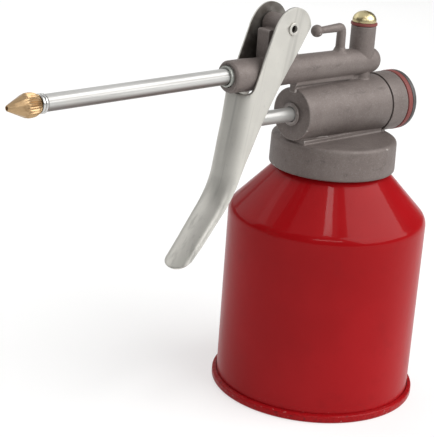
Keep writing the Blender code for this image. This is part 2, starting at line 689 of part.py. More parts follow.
def pivot_rivet(mat, parent):
    """Hollow rivet with a rolled head on each cheek."""
    inner = LEVER_HALF + 0.1
    outer = inner + 0.5
    profile = [(RIVET_BORE_R, -outer), (RIVET_HEAD_R - 0.4, -outer), (RIVET_HEAD_R, -inner - 0.15),
               (RIVET_HEAD_R, -inner), (RIVET_R, -inner), (RIVET_R, inner), (RIVET_HEAD_R, inner),
               (RIVET_HEAD_R, inner + 0.15), (RIVET_HEAD_R - 0.4, outer), (RIVET_BORE_R, outer)]
    solid("pivot_rivet", along_y(lathe(profile, SMALL), PIVOT_X, PIVOT_Z), mat, parent, (PIVOT_X, 0, PIVOT_Z))


# ---------------------------------------------------------------- assembly

def build():
    clear_scene()
    red = material("red_paint", (0.55, 0.02, 0.025), 0.25, 0.0)
    zinc = material("zinc_casting", (0.27, 0.235, 0.22), 0.6, 0.6)
    plated = material("zinc_plated_steel", (0.62, 0.62, 0.6), 0.3, 1.0)
    steel = material("bright_steel", (0.6, 0.6, 0.6), 0.25, 1.0)
    brass = material("brass", (0.72, 0.46, 0.2), 0.3, 1.0)
    gilt = material("yellow_plating", (0.78, 0.6, 0.26), 0.2, 1.0)
    fibre = material("red_fibre", (0.3, 0.05, 0.035), 0.7, 0.0)
    rubber = material("black_rubber", (0.02, 0.02, 0.02), 0.8, 0.0)
    dark = material("dark_plug", (0.06, 0.06, 0.06), 0.45, 0.2)

    root = empty("oil_can", (0, 0, 0))
    root.location.x = CAN_AXIS_X * MM
    can_shell(red, root)
    can_base(red, root)
    neck_gasket(rubber, root)

    screw = empty("head_screw_axis", (0, 0, CAP_BOTTOM), root)
    pump_head(zinc, screw)
    end_plug(dark, screw)
    ring("end_plug_gasket", fibre, screw, 10.1, 12.15, COLLAR_REAR + 0.2, COLLAR_REAR + 2.6, lay=along_x)
    ring("rod_seal", rubber, screw, ROD_R + 0.15, SEAL_POCKET_R - 0.15, BOSS_FRONT + 0.4, BOSS_FRONT + 2.1, 32,
         along_x)
    return_spring(steel, screw)
    suction_parts({"brass": brass, "tube": plated, "steel": steel}, screw)
    outlet_parts({"plug": gilt, "fibre": fibre, "steel": steel}, screw)
    check_ball("inlet_ball", 1.8, 106.45, steel, screw)
    check_ball("outlet_ball", 1.9, 133.6, steel, screw)
    spout_parts({"steel": steel, "nozzle": brass}, screw)
    pivot_rivet(plated, screw)

    lever_axis = empty("lever_axis", (PIVOT_X, 0, PIVOT_Z), screw)
    lever(plated, lever_axis)
    piston_axis = empty("piston_axis", (0, 0, BARREL_Z), screw)
    piston_group({"rod": plated, "brass": brass, "cup": rubber, "steel": steel}, piston_axis)


build()
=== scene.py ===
"""Looks of the pump oil can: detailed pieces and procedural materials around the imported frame.

Shapes are drawn in millimetres, from the can's axis and the surface that it stands on, with the
spout along -X.  Each finished piece is scaled to metres and moved to the frame's can axis.
"""

import math

import bmesh
import bpy
from mathutils import Matrix, Vector


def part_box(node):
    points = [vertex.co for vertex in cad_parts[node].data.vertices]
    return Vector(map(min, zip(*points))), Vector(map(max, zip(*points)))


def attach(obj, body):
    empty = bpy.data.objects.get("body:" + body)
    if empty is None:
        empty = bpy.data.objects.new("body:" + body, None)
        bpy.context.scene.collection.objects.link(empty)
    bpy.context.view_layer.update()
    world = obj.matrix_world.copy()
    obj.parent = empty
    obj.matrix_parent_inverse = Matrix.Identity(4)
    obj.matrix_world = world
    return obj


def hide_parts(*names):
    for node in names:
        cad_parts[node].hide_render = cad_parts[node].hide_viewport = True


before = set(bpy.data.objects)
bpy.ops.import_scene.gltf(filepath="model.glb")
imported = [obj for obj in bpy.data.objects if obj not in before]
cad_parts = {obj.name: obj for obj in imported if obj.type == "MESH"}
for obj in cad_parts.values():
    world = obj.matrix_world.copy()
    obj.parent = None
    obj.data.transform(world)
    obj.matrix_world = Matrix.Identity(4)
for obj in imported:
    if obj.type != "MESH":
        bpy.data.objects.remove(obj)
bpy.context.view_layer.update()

MM = 0.001
SHELL_LOW, SHELL_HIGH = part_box("can_shell")
AXIS_X = (SHELL_LOW.x + SHELL_HIGH.x) / 2 / MM      # the can's axis in the frame, mm
HEAD = "head"
PISTON = "piston_body"
LEVER = "lever_body"
CAN = "can"
TUBE_Z = 135.7                # height of the discharge tube's axis
SPOUT_DROOP = 0.98            # degrees that the spout slopes down to the nozzle
SPOUT_LEVEL_X = -77.0         # where the sloping spout crosses the discharge tube's axis
LEVER_LEAN = 10.8             # degrees that the lever's channel leans from upright, foot forwards
LEVER_HALF = 7.2              # half of the lever's width
LEVER_T = 1.0                 # thickness of its sheet


# ---------------------------------------------------------------- mesh helpers

def lathe(profile, segments):
    """Turns a closed loop of (radius, height) points about Z. Points on the axis become poles."""
    bm = bmesh.new()
    rings = []
    for radius, height in profile:
        if radius < 1e-6:
            rings.append([bm.verts.new((0, 0, height))])
            continue
        ring = []
        for k in range(segments):
            turn = 2 * math.pi * k / segments
            ring.append(bm.verts.new((radius * math.cos(turn), radius * math.sin(turn), height)))
        rings.append(ring)
    stitch(bm, rings, segments)
    return bm


def stitch(bm, rings, segments):
    """Joins each ring to the next, and the last to the first. A ring of one point is a pole."""
    for lower, upper in zip(rings, rings[1:] + rings[:1]):
        for k in range(segments):
            after = (k + 1) % segments
            corners = [lower[k % len(lower)], lower[after % len(lower)],
                       upper[after % len(upper)], upper[k % len(upper)]]
            corners = list(dict.fromkeys(corners))
            if len(corners) > 2:
                bm.faces.new(corners)
    bmesh.ops.recalc_face_normals(bm, faces=bm.faces)


def rounded(profile, radii, steps):
    """Rounds the corners of a closed (radius, height) loop. radii gives one radius for each point."""
    result = []
    count = len(profile)
    for k, (point, radius) in enumerate(zip(profile, radii)):
        here = Vector(point)
        back = Vector(profile[k - 1]) - here
        ahead = Vector(profile[(k + 1) % count]) - here
        if radius <= 0 or back.length < 1e-6 or ahead.length < 1e-6:
            result.append(tuple(here))
            continue
        corner = back.angle(ahead)
        reach = min(radius / math.tan(corner / 2), back.length * 0.48, ahead.length * 0.48)
        start = here + back.normalized() * reach
        end = here + ahead.normalized() * reach
        for i in range(steps + 1):
            t = i / steps
            result.append(tuple((1 - t) ** 2 * start + 2 * t * (1 - t) * here + t * t * end))
    return result


def turned(profile, radii, segments, steps=4):
    """A turned shape with rounded corners."""
    return lathe(rounded(profile, radii, steps), segments)


def along_x(bm, z):
    """Lays a turned shape along X at height z."""
    bmesh.ops.rotate(bm, verts=bm.verts, cent=(0, 0, 0), matrix=Matrix.Rotation(math.pi / 2, 3, "Y"))
    bmesh.ops.translate(bm, verts=bm.verts, vec=(0, 0, z))
    return bm


def along_spout(bm):
    """Lays a turned shape along the spout's axis, which droops a little towards the nozzle."""
    bm = along_x(bm, TUBE_Z)
    droop = Matrix.Rotation(-math.radians(SPOUT_DROOP), 3, "Y")
    bmesh.ops.rotate(bm, verts=bm.verts, cent=(SPOUT_LEVEL_X, 0, TUBE_Z), matrix=droop)
    return bm


def along_y(bm, x, z):
    """Lays a turned shape along Y through (x, z)."""
    bmesh.ops.rotate(bm, verts=bm.verts, cent=(0, 0, 0), matrix=Matrix.Rotation(-math.pi / 2, 3, "X"))
    bmesh.ops.translate(bm, verts=bm.verts, vec=(x, 0, z))
    return bm


def moved(bm, x=0, y=0, z=0):
    bmesh.ops.translate(bm, verts=bm.verts, vec=(x, y, z))
    return bm


def rod_shape(radius, low, high, segments=64):
    return lathe([(0, low), (radius, low), (radius, high), (0, high)], segments)


def ball_shape(radius):
    segments, steps = 48, 24
    return lathe([(radius * math.sin(math.pi * k / steps), -radius * math.cos(math.pi * k / steps))
                  for k in range(steps + 1)], segments)


def box_shape(low, high):
    bm = bmesh.new()
    bmesh.ops.create_cube(bm, size=1.0)
    bmesh.ops.scale(bm, verts=bm.verts, vec=Vector(high) - Vector(low))
    bmesh.ops.translate(bm, verts=bm.verts, vec=(Vector(high) + Vector(low)) / 2)
    return bm


def plate_shape(outline, half_width):
    """A closed (x, z) outline, extruded to both sides of the plane y = 0."""
    bm = bmesh.new()
    near = [bm.verts.new((x, -half_width, z)) for x, z in outline]
    far = [bm.verts.new((x, half_width, z)) for x, z in outline]
    bm.faces.new(near)
    bm.faces.new(far)
    for k in range(len(outline)):
        after = (k + 1) % len(outline)
        bm.faces.new((near[k], near[after], far[after], far[k]))
    bmesh.ops.recalc_face_normals(bm, faces=bm.faces)
    return bm


def arc(centre, radius, start, end, steps):
    """Points on an arc, with its angles in degrees."""
    points = []
    for k in range(steps + 1):
        turn = math.radians(start + (end - start) * k / steps)
        points.append((centre[0] + radius * math.cos(turn), centre[1] + radius * math.sin(turn)))
    return points


def swept_tube(points, radii, sides):
    """A closed tube along 3-D points, with one radius for each."""
    bm = bmesh.new()
    rings = []
    normal = None
    for k, (point, radius) in enumerate(zip(points, radii)):
        ahead = points[min(k + 1, len(points) - 1)] - points[max(k - 1, 0)]
        ahead.normalize()
        if normal is None:
            normal = ahead.orthogonal().normalized()
        normal = (normal - ahead * normal.dot(ahead)).normalized()
        side = ahead.cross(normal)
        rings.append([bm.verts.new(point + radius * (math.cos(2 * math.pi * s / sides) * normal
                                                     + math.sin(2 * math.pi * s / sides) * side))
                      for s in range(sides)])
    for lower, upper in zip(rings, rings[1:]):
        for s in range(sides):
            after = (s + 1) % sides
            bm.faces.new((lower[s], lower[after], upper[after], upper[s]))
    bm.faces.new(rings[0])
    bm.faces.new(rings[-1])
    bmesh.ops.recalc_face_normals(bm, faces=bm.faces)
    return bm


def scratch_object(bm):
    mesh = bpy.data.meshes.new("scratch")
    bm.to_mesh(mesh)
    bm.free()
    obj = bpy.data.objects.new("scratch", mesh)
    bpy.context.collection.objects.link(obj)
    return obj


def applied(obj):
    """The object's mesh with its modifiers applied, as a bmesh. The object is removed."""
    graph = bpy.context.evaluated_depsgraph_get()
    mesh = bpy.data.meshes.new_from_object(obj.evaluated_get(graph))
    bpy.data.objects.remove(obj, do_unlink=True)
    bm = bmesh.new()
    bm.from_mesh(mesh)
    bpy.data.meshes.remove(mesh)
    return bm


def combine(base, tools, operation):
    """Exact booleans of base with each tool in turn, with stray short edges cleaned up."""
    for tool in tools:
        target = scratch_object(base)
        cutter = scratch_object(tool)
        step = target.modifiers.new("step", "BOOLEAN")
        step.operation = operation
        step.solver = "EXACT"
        step.object = cutter
        base = applied(target)
        bmesh.ops.remove_doubles(base, verts=base.verts, dist=0.0005)
        bmesh.ops.dissolve_degenerate(base, edges=base.edges, dist=0.0005)
        bpy.data.objects.remove(cutter, do_unlink=True)
    return base


def piece(name, bm, mat, body, node, sharp_angle=35.0):
    """Finishes a bmesh drawn in millimetres as a visible piece that stands for a CAD node."""
    bmesh.ops.translate(bm, verts=bm.verts, vec=(AXIS_X, 0, 0))
    bmesh.ops.scale(bm, verts=bm.verts, vec=(MM, MM, MM))
    mesh = bpy.data.meshes.new(name)
    bm.to_mesh(mesh)
    bm.free()
    mesh.materials.append(mat)
    mesh.shade_smooth()
    mesh.set_sharp_from_angle(angle=math.radians(sharp_angle))
    obj = bpy.data.objects.new(name, mesh)
    bpy.context.collection.objects.link(obj)
    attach(obj, body)
    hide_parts(node)
    return obj


# ---------------------------------------------------------------- materials

class Finish:
    """A Principled material with helpers that add procedural nodes in object coordinates, in metres."""

    def __init__(self, name, colour, roughness, metallic=0.0):
        self.mat = bpy.data.materials.new(name)
        self.mat.use_nodes = True
        self.tree = self.mat.node_tree
        self.shader = self.tree.nodes["Principled BSDF"]
        self.set("Base Color", (*colour, 1.0))
        self.set("Roughness", roughness)
        self.set("Metallic", metallic)
        self.coords = self.tree.nodes.new("ShaderNodeTexCoord").outputs["Object"]
        self.height = None

    def set(self, socket, value):
        self.shader.inputs[socket].default_value = value
        return self

    def link(self, source, target):
        self.tree.links.new(source, target)

    def stretched(self, stretch, tilt=0.0):
        """Object coordinates turned by tilt about Y, then scaled by stretch."""
        turn = self.tree.nodes.new("ShaderNodeMapping")
        turn.inputs["Rotation"].default_value = (0, tilt, 0)
        self.link(self.coords, turn.inputs["Vector"])
        scale = self.tree.nodes.new("ShaderNodeMapping")
        scale.inputs["Scale"].default_value = stretch
        self.link(turn.outputs["Vector"], scale.inputs["Vector"])
        return scale.outputs["Vector"]

    def noise(self, scale, detail=3.0, roughness=0.5, stretch=None, tilt=0.0):
        node = self.tree.nodes.new("ShaderNodeTexNoise")
        node.inputs["Scale"].default_value = scale
        node.inputs["Detail"].default_value = detail
        node.inputs["Roughness"].default_value = roughness
        self.link(self.coords if stretch is None else self.stretched(stretch, tilt), node.inputs["Vector"])
        return node.outputs["Fac"]

    def edges(self, low, high):
        """1 on convex edges and 0 elsewhere, from the mesh's curvature."""
        geometry = self.tree.nodes.new("ShaderNodeNewGeometry")
        return self.ramp(geometry.outputs["Pointiness"], low, high)

    def axis(self, name, low, high):
        """0 at low to 1 at high along one object axis, in metres."""
        split = self.tree.nodes.new("ShaderNodeSeparateXYZ")
        self.link(self.coords, split.inputs["Vector"])
        return self.ramp(split.outputs[name], low, high)

    def spout_height(self, low, high):
        """0 at low to 1 at high, in metres above the spout's sloping axis."""
        droop = math.radians(SPOUT_DROOP)
        turn = self.tree.nodes.new("ShaderNodeMapping")
        turn.inputs["Rotation"].default_value = (0, droop, 0)
        self.link(self.coords, turn.inputs["Vector"])
        split = self.tree.nodes.new("ShaderNodeSeparateXYZ")
        self.link(turn.outputs["Vector"], split.inputs["Vector"])
        level = (TUBE_Z * math.cos(droop) - (SPOUT_LEVEL_X + AXIS_X) * math.sin(droop)) * MM
        return self.ramp(split.outputs["Z"], level + low, level + high)

    def ramp(self, value, low, high, to_low=0.0, to_high=1.0):
        node = self.tree.nodes.new("ShaderNodeMapRange")
        node.interpolation_type = "SMOOTHSTEP"
        self.link(value, node.inputs["Value"])
        node.inputs["From Min"].default_value = low
        node.inputs["From Max"].default_value = high
        node.inputs["To Min"].default_value = to_low
        node.inputs["To Max"].default_value = to_high
        return node.outputs["Result"]

    def maths(self, operation, a, b):
        node = self.tree.nodes.new("ShaderNodeMath")
        node.operation = operation
        for socket, value in zip(node.inputs, (a, b)):
            if isinstance(value, (int, float)):
                socket.default_value = value
            else:
                self.link(value, socket)
        return node.outputs["Value"]

    def tint(self, factor, colour, share=1.0):
        """Mixes colour over the base colour where factor is high."""
        node = self.tree.nodes.new("ShaderNodeMix")
        node.data_type = "RGBA"
        base = self.shader.inputs["Base Color"]
        if base.is_linked:
            self.link(base.links[0].from_socket, node.inputs["A"])
        else:
            node.inputs["A"].default_value = base.default_value
        node.inputs["B"].default_value = (*colour, 1.0)
        self.link(factor if share == 1.0 else self.maths("MULTIPLY", factor, share), node.inputs["Factor"])
        self.link(node.outputs["Result"], base)
        return self

    def vary(self, socket, factor, low, high):
        """Drives a number from low to high with a 0 to 1 factor."""
        node = self.tree.nodes.new("ShaderNodeMapRange")
        self.link(factor, node.inputs["Value"])
        node.inputs["To Min"].default_value = low
        node.inputs["To Max"].default_value = high
        self.link(node.outputs["Result"], self.shader.inputs[socket])
        return self

    def bump(self, height, depth):
        """Adds a bump of the given depth in metres."""
        node = self.tree.nodes.new("ShaderNodeBump")
        node.inputs["Strength"].default_value = 1.0
        node.inputs["Distance"].default_value = depth
        self.link(height, node.inputs["Height"])
        normal = self.shader.inputs["Normal"]
        if normal.is_linked:
            self.link(normal.links[0].from_socket, node.inputs["Normal"])
        self.link(node.outputs["Normal"], normal)
        return self


def red_paint():
    """Gloss enamel on drawn steel: soft orange peel, rolling marks in the wall, and scuffs on the seam."""
    f = Finish("red_paint", (0.275, 0.0032, 0.0052), 0.28)
    f.set("Coat Weight", 0.16)
    f.set("Coat Roughness", 0.06)
    f.set("IOR", 1.12)
    f.tint(f.ramp(f.noise(22, 3, 0.55), 0.35, 0.7), (0.325, 0.0052, 0.0080), 0.8)
    f.tint(f.ramp(f.noise(140, 4, 0.6), 0.55, 0.75), (0.235, 0.004, 0.006), 0.35)
    specks = f.ramp(f.noise(1500, 2, 0.5), 0.73, 0.8)
    f.tint(specks, (0.10, 0.004, 0.006), 0.5)
    low = f.axis("Z", 0.0062, 0.0018)
    scuffs = f.maths("MULTIPLY", f.ramp(f.noise(520, 4, 0.7), 0.56, 0.66), low)
    f.tint(scuffs, (0.13, 0.008, 0.010), 0.9)
    f.tint(f.maths("MULTIPLY", f.ramp(f.noise(900, 3, 0.6), 0.66, 0.7), low), (0.42, 0.22, 0.2), 0.7)
    f.vary("Roughness", f.noise(70, 5, 0.65, stretch=(1, 1, 0.35)), 0.22, 0.42)
    f.bump(f.noise(26, 2, 0.4, stretch=(1, 1, 0.22)), 0.00035)
    f.bump(f.noise(130, 3, 0.5), 0.00009)
    f.bump(f.noise(650, 2, 0.5), 0.000012)
    f.bump(f.maths("MULTIPLY", f.noise(330, 4, 0.65), low), 0.0011)
    return f.mat


def cast_zinc():
    """Grey die casting: fine grain, faint flow marks, a painted highlight along its convex edges, and painted
    shade in its concave corners.
    """
    f = Finish("cast_zinc", (0.148, 0.122, 0.112), 0.5, 0.3)
    f.set("Specular IOR Level", 0.35)
    f.tint(f.ramp(f.noise(90, 5, 0.65), 0.35, 0.7), (0.182, 0.153, 0.141), 0.75)
    f.tint(f.ramp(f.noise(260, 4, 0.7, stretch=(0.35, 1, 1)), 0.56, 0.72), (0.090, 0.074, 0.067), 0.6)
    f.tint(f.ramp(f.noise(1500, 4, 0.7), 0.5, 0.68), (0.25, 0.222, 0.208), 0.4)
    f.tint(f.ramp(f.noise(2100, 3, 0.6), 0.55, 0.7), (0.085, 0.072, 0.066), 0.45)
    # painted highlight: convex edges are lightened, standing in for the light that catches them
    f.tint(f.edges(0.515, 0.56), (0.42, 0.39, 0.37), 0.55)
    # painted shade: concave corners and creases are darkened, standing in for the shade that falls in them
    f.tint(f.edges(0.485, 0.44), (0.07, 0.058, 0.053), 0.65)
    f.vary("Roughness", f.noise(400, 4, 0.6), 0.42, 0.68)
    f.bump(f.noise(60, 3, 0.5), 0.00016)
    f.bump(f.noise(1300, 5, 0.7), 0.00009)
    return f.mat


def sheet_zinc(name, tilt, colour=(0.54, 0.525, 0.485)):
    """Zinc-plated sheet: satin, with drawing lines, a faint mottle, and painted shade inside the fork."""
    f = Finish(name, colour, 0.34, 0.7)
    lines = f.noise(260, 3, 0.6, stretch=(1, 1, 0.04), tilt=tilt)
    f.tint(f.ramp(f.noise(60, 4, 0.6), 0.4, 0.7), (0.62, 0.605, 0.555), 0.7)
    f.tint(f.ramp(lines, 0.52, 0.72), (0.30, 0.29, 0.27), 0.55)
    f.tint(f.ramp(f.noise(700, 3, 0.6), 0.6, 0.75), (0.40, 0.39, 0.37), 0.4)
    face = (LEVER_HALF - 0.5) * MM        # just inside the cheeks' outer faces
    within = f.maths("MULTIPLY", f.axis("Y", -face, 0.0002 - face), f.axis("Y", face, face - 0.0002))
    # painted shade: the cheeks' inner faces and the web above about 130 mm are darkened, standing in for the
    # shade inside the fork
    fork = f.maths("MULTIPLY", f.axis("Z", 0.128, 0.132), within)
    f.tint(f.maths("MULTIPLY", fork, f.ramp(f.noise(90, 4, 0.6), 0.3, 0.6, 0.7, 1.0)), (0.085, 0.072, 0.062))
    f.vary("Roughness", f.noise(180, 4, 0.6, stretch=(1, 1, 0.15), tilt=tilt), 0.3, 0.5)
    f.bump(lines, 0.00003)
    f.bump(f.noise(45, 2, 0.5, stretch=(1, 1, 0.3), tilt=tilt), 0.00015)
    f.bump(f.noise(2400, 2, 0.5), 0.000006)
    return f.mat


def steel_tube(name, colour=(0.52, 0.515, 0.50), painted_shade_height=None):
    """Plated tube that runs along X: fine lines along it, darker stains, and painted shade underneath."""
    f = Finish(name, colour, 0.4, 0.5)
    lines = f.noise(900, 3, 0.6, stretch=(0.03, 1, 1))
    f.tint(f.ramp(lines, 0.45, 0.65), (0.36, 0.35, 0.335), 0.5)
    f.tint(f.ramp(f.noise(120, 4, 0.6), 0.55, 0.75), (0.50, 0.48, 0.45), 0.5)
    if painted_shade_height is not None:
        # painted shade: the tube's lower half, below the given height over its axis, is darkened, standing in
        # for the shade on its underside
        painted_underside_shade = f.spout_height(painted_shade_height, painted_shade_height - 0.002)
        f.tint(painted_underside_shade, (0.13, 0.112, 0.102), 0.95)
        seam = f.maths("MULTIPLY", f.spout_height(0.0009, 0.00125), f.spout_height(0.0018, 0.0014))
        f.tint(seam, (0.20, 0.19, 0.18), 0.6)
    f.vary("Roughness", f.noise(350, 4, 0.6, stretch=(0.15, 1, 1)), 0.26, 0.5)
    f.bump(lines, 0.00001)
    f.bump(f.noise(70, 2, 0.5, stretch=(0.4, 1, 1)), 0.00008)
    return f.mat


def turned_metal(name, colour, dark, roughness=0.25):
    """Turned metal with tool marks round its X axis, and painted shade in its concave corners."""
    f = Finish(name, colour, roughness, 1.0)
    rings = f.noise(2600, 2, 0.5, stretch=(1, 0.04, 0.04))
    f.tint(f.ramp(f.noise(500, 4, 0.6), 0.45, 0.75), dark, 0.5)
    # painted shade: concave corners and creases are darkened with the dark colour
    f.tint(f.edges(0.49, 0.43), dark, 0.7)
    f.vary("Roughness", f.noise(900, 3, 0.6), roughness * 0.8, roughness * 1.6)
    f.bump(rings, 0.000012)
    return f.mat


def fibre():
    """Red vulcanised fibre of the two sealing washers."""
    f = Finish("red_fibre", (0.185, 0.036, 0.030), 0.62)
    f.tint(f.ramp(f.noise(1500, 4, 0.7, stretch=(1, 1, 3)), 0.45, 0.7), (0.10, 0.018, 0.016), 0.7)
    f.tint(f.ramp(f.noise(2600, 2, 0.5), 0.62, 0.75), (0.33, 0.10, 0.08), 0.5)
    f.vary("Roughness", f.noise(600, 3, 0.5), 0.5, 0.75)
    f.bump(f.noise(2200, 3, 0.6), 0.00004)
    return f.mat


def dark_plastic():
    """Dark end plug with a sheen and rubbed edges."""
    f = Finish("dark_plug", (0.060, 0.056, 0.055), 0.42, 0.25)
    f.tint(f.ramp(f.noise(300, 4, 0.6), 0.45, 0.7), (0.085, 0.080, 0.078), 0.7)
    f.tint(f.edges(0.515, 0.57), (0.20, 0.19, 0.185), 0.5)
    f.vary("Roughness", f.noise(500, 3, 0.6), 0.34, 0.55)
    f.bump(f.noise(1500, 3, 0.6), 0.00003)
    return f.mat


def rubber():
    """Black rubber of the hidden seals."""
    f = Finish("black_rubber", (0.022, 0.021, 0.021), 0.7)
    f.tint(f.ramp(f.noise(400, 4, 0.6), 0.5, 0.75), (0.045, 0.043, 0.042), 0.7)
    f.vary("Roughness", f.noise(700, 3, 0.6), 0.6, 0.85)
    f.bump(f.noise(1300, 3, 0.6), 0.00003)
    return f.mat


RED = red_paint()
ZINC = cast_zinc()
SHEET = sheet_zinc("zinc_plated_sheet", math.radians(-LEVER_LEAN))
TUBE = steel_tube("plated_tube", (0.42, 0.415, 0.40))
SPOUT_TUBE = steel_tube("spout_plating", painted_shade_height=0.0002)
FERRULE = steel_tube("ferrule_metal", (0.30, 0.31, 0.285))
BRASS = turned_metal("turned_brass", (0.44, 0.30, 0.165), (0.17, 0.09, 0.035), 0.3)
GILT = turned_metal("yellow_plating", (0.60, 0.52, 0.30), (0.34, 0.22, 0.08), 0.28)
STEEL = turned_metal("bright_steel", (0.60, 0.60, 0.585), (0.30, 0.29, 0.28), 0.24)
FIBRE = fibre()
DARK = dark_plastic()
RUBBER = rubber()
HIDDEN_FINISH = {
    "neck_gasket": RUBBER, "rod_seal": RUBBER, "return_spring": STEEL, "suction_fitting": BRASS,
    "suction_tube": TUBE, "suction_strainer": BRASS, "ball_retainer": STEEL, "outlet_spring": STEEL,
    "inlet_ball": STEEL, "outlet_ball": STEEL, "piston": BRASS, "piston_cup": RUBBER, "cup_washer": STEEL,
    "piston_nut": STEEL,
}
for node, mat in HIDDEN_FINISH.items():
    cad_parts[node].data.materials.clear()
    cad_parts[node].data.materials.append(mat)


# ---------------------------------------------------------------- can

CAN_R = 40.0
SHEET_T = 0.5                 # thickness of the can's wall
SEAM_R = 41.9
SHOULDER_Z = 75.25            # height where the wall and the shoulder cone would meet
SHOULDER_FILLET = 6.0
SHOULDER_SLOPE = 0.95         # radius lost per unit of height
NECK_R = 22.3
NECK_TOP = 102.2
CAN_SEGMENTS = 160


def shoulder_profile(offset):
    """Rounded shoulder, cone and fillet at the neck, offset inwards by the given amount."""
    slope = math.degrees(math.atan(SHOULDER_SLOPE))
    tangent = SHOULDER_FILLET * math.tan(math.radians(slope / 2))
    points = arc((CAN_R - SHOULDER_FILLET, SHOULDER_Z - tangent), SHOULDER_FILLET - offset, 0, slope, 14)
    neck_z = SHOULDER_Z + (CAN_R - NECK_R) / SHOULDER_SLOPE
    neck_fillet = 2.0
    neck_tangent = neck_fillet * math.tan(math.radians(slope / 2))
    points += arc((NECK_R + neck_fillet, neck_z + neck_tangent), neck_fillet + offset, 180 + slope, 180, 8)
    return points


def can_shell():
    outer = [(SEAM_R - 0.9, 0.9), (SEAM_R - 0.9, 1.4), (SEAM_R - 1.3, 1.65), (CAN_R + 0.25, 1.8),
             (CAN_R, 2.1)]
    outer += [(CAN_R, z) for z in (4, 12, 24, 36, 48, 60)] + shoulder_profile(0.0)
    lip = [(NECK_R, NECK_TOP - 1.3), (NECK_R + 0.28, NECK_TOP - 1.0), (NECK_R + 0.4, NECK_TOP - 0.6),
           (NECK_R + 0.28, NECK_TOP - 0.2), (NECK_R, NECK_TOP)]
    inner = [(CAN_R - SHEET_T, 0.9)] + shoulder_profile(SHEET_T)
    mouth = [(NECK_R - SHEET_T - 0.4, NECK_TOP), (NECK_R - SHEET_T, NECK_TOP - 1.0)]
    piece("can_body", lathe(outer + lip + mouth + inner[::-1], CAN_SEGMENTS), RED, CAN, "can_shell")


def can_base():
    """Recessed panel, its wall, and the curl of the double seam."""
    panel_r = CAN_R - 2.1
    curl = 0.85
    bead = arc((SEAM_R - curl, curl), curl, 270, 360, 6) + arc((SEAM_R - curl, 2.35), curl, 0, 70, 6)
    panel = [(0, 3.4), (panel_r - 3.2, 3.4), (panel_r - 2.6, 3.1), (panel_r - 1.4, 3.1), (panel_r - 0.8, 3.4),
             (panel_r, 3.4)]
    wall = [(panel_r + 0.45, 3.2), (panel_r + 0.6, 2.8), (panel_r + 0.7, 0.7), (panel_r + 0.95, 0.2),
            (panel_r + 1.4, 0)]
    slot = [(CAN_R + 0.3, 3.35), (CAN_R + 0.3, 2.95), (SEAM_R - 0.6, 2.5), (SEAM_R - 0.5, 1.0),
            (SEAM_R - 0.9, 0.5), (CAN_R - 0.4, 0.5), (CAN_R - 0.8, 0.9), (CAN_R - 0.8, 3.9), (0, 3.9)]
    piece("can_bottom", lathe(panel + wall + bead + slot, CAN_SEGMENTS), RED, CAN, "can_base")


# ---------------------------------------------------------------- head casting

BARREL_Z = 117.9
BARREL_FRONT = -24.8
BORE_R = 7.5
COLLAR_FRONT = 20.2
COLLAR_REAR = 28.9
TUBE_FRONT = -59.2
TUBE_REAR = 15.2              # centre of the rounded rear end
COLUMN_X = 10.8
COLUMN_TOP = 149.9
HOOK_X = -1.5
PIVOT = (-34.5, 153.0)        # x and z of the lever's pivot
PIVOT_HOLE_R = 2.15
CAP_ROOF = 104.0
CAP_TOP = 107.0
CAP_SKIRT = 94.3
ROD_R = 2.75
ROD_TIP = -55.45
BALL_X = -15.0                # the hook's ball


def head_blank():
    """The casting before machining, as one union of its masses."""
    cap_bore = 23.0
    cap = turned([(0, CAP_ROOF), (cap_bore, CAP_ROOF), (cap_bore, CAP_SKIRT), (25.2, CAP_SKIRT),
                  (25.15, 98.0), (24.95, CAP_TOP), (0, CAP_TOP)], [0, 0.3, 0.3, 1.0, 3.0, 1.9, 0], 128, 6)
    barrel = turned([(0, BARREL_FRONT), (10.35, BARREL_FRONT), (11.5, 19.7), (11.5, COLLAR_FRONT),
                     (12.0, COLLAR_FRONT), (12.0, COLLAR_REAR), (0, COLLAR_REAR)],
                    [0, 0.7, 0.2, 0, 0.2, 0.3, 0], 96)
    tube_end = [(5.2 * math.cos(math.radians(a)), TUBE_REAR + 4.8 * math.sin(math.radians(a)))
                for a in range(15, 80, 12)]
    tube = lathe([(0, TUBE_FRONT), (5.35, TUBE_FRONT), (6.05, -58.3), (6.15, -51.2), (5.35, -24.0),
                  (5.2, TUBE_REAR)] + tube_end + [(0, TUBE_REAR + 4.8)], 72)
    rib = box_shape((-25.6, -1.5, 126.5), (9.0, 1.5, 133.0))
    bead = box_shape((-26.2, -2.9, 129.6), (4.7, 2.9, 131.5))
    saddle = box_shape((-23.4, -7.0, CAP_ROOF + 1), (21.5, 7.0, 108.7))
    lug = plate_shape([(-43.0, TUBE_Z), (-43.0, 151.7), (-42.4, 152.3), (-38.0, 152.3), (PIVOT[0], 153.5),
                       (-30.6, 151.0), (-27.6, 144.5), (-25.0, TUBE_Z)], 3.0)
    pivot_boss = turned([(0, -5.6), (4.4, -5.6), (4.4, 5.6), (0, 5.6)], [0, 0.3, 0.3, 0], 64)
    column = moved(rod_shape(4.95, TUBE_Z - 1.0, COLUMN_TOP), x=COLUMN_X)
    lower_column = moved(rod_shape(3.4, 124.0, TUBE_Z), x=12.0)
    suction_boss = moved(rod_shape(5.2, 99.0, CAP_ROOF + 1), x=COLUMN_X)
    masses = [saddle, along_x(barrel, BARREL_Z), suction_boss, along_x(tube, TUBE_Z), rib, bead, lug,
              along_y(pivot_boss, *PIVOT), column, lower_column, hook()]
    return combine(cap, masses, "UNION")


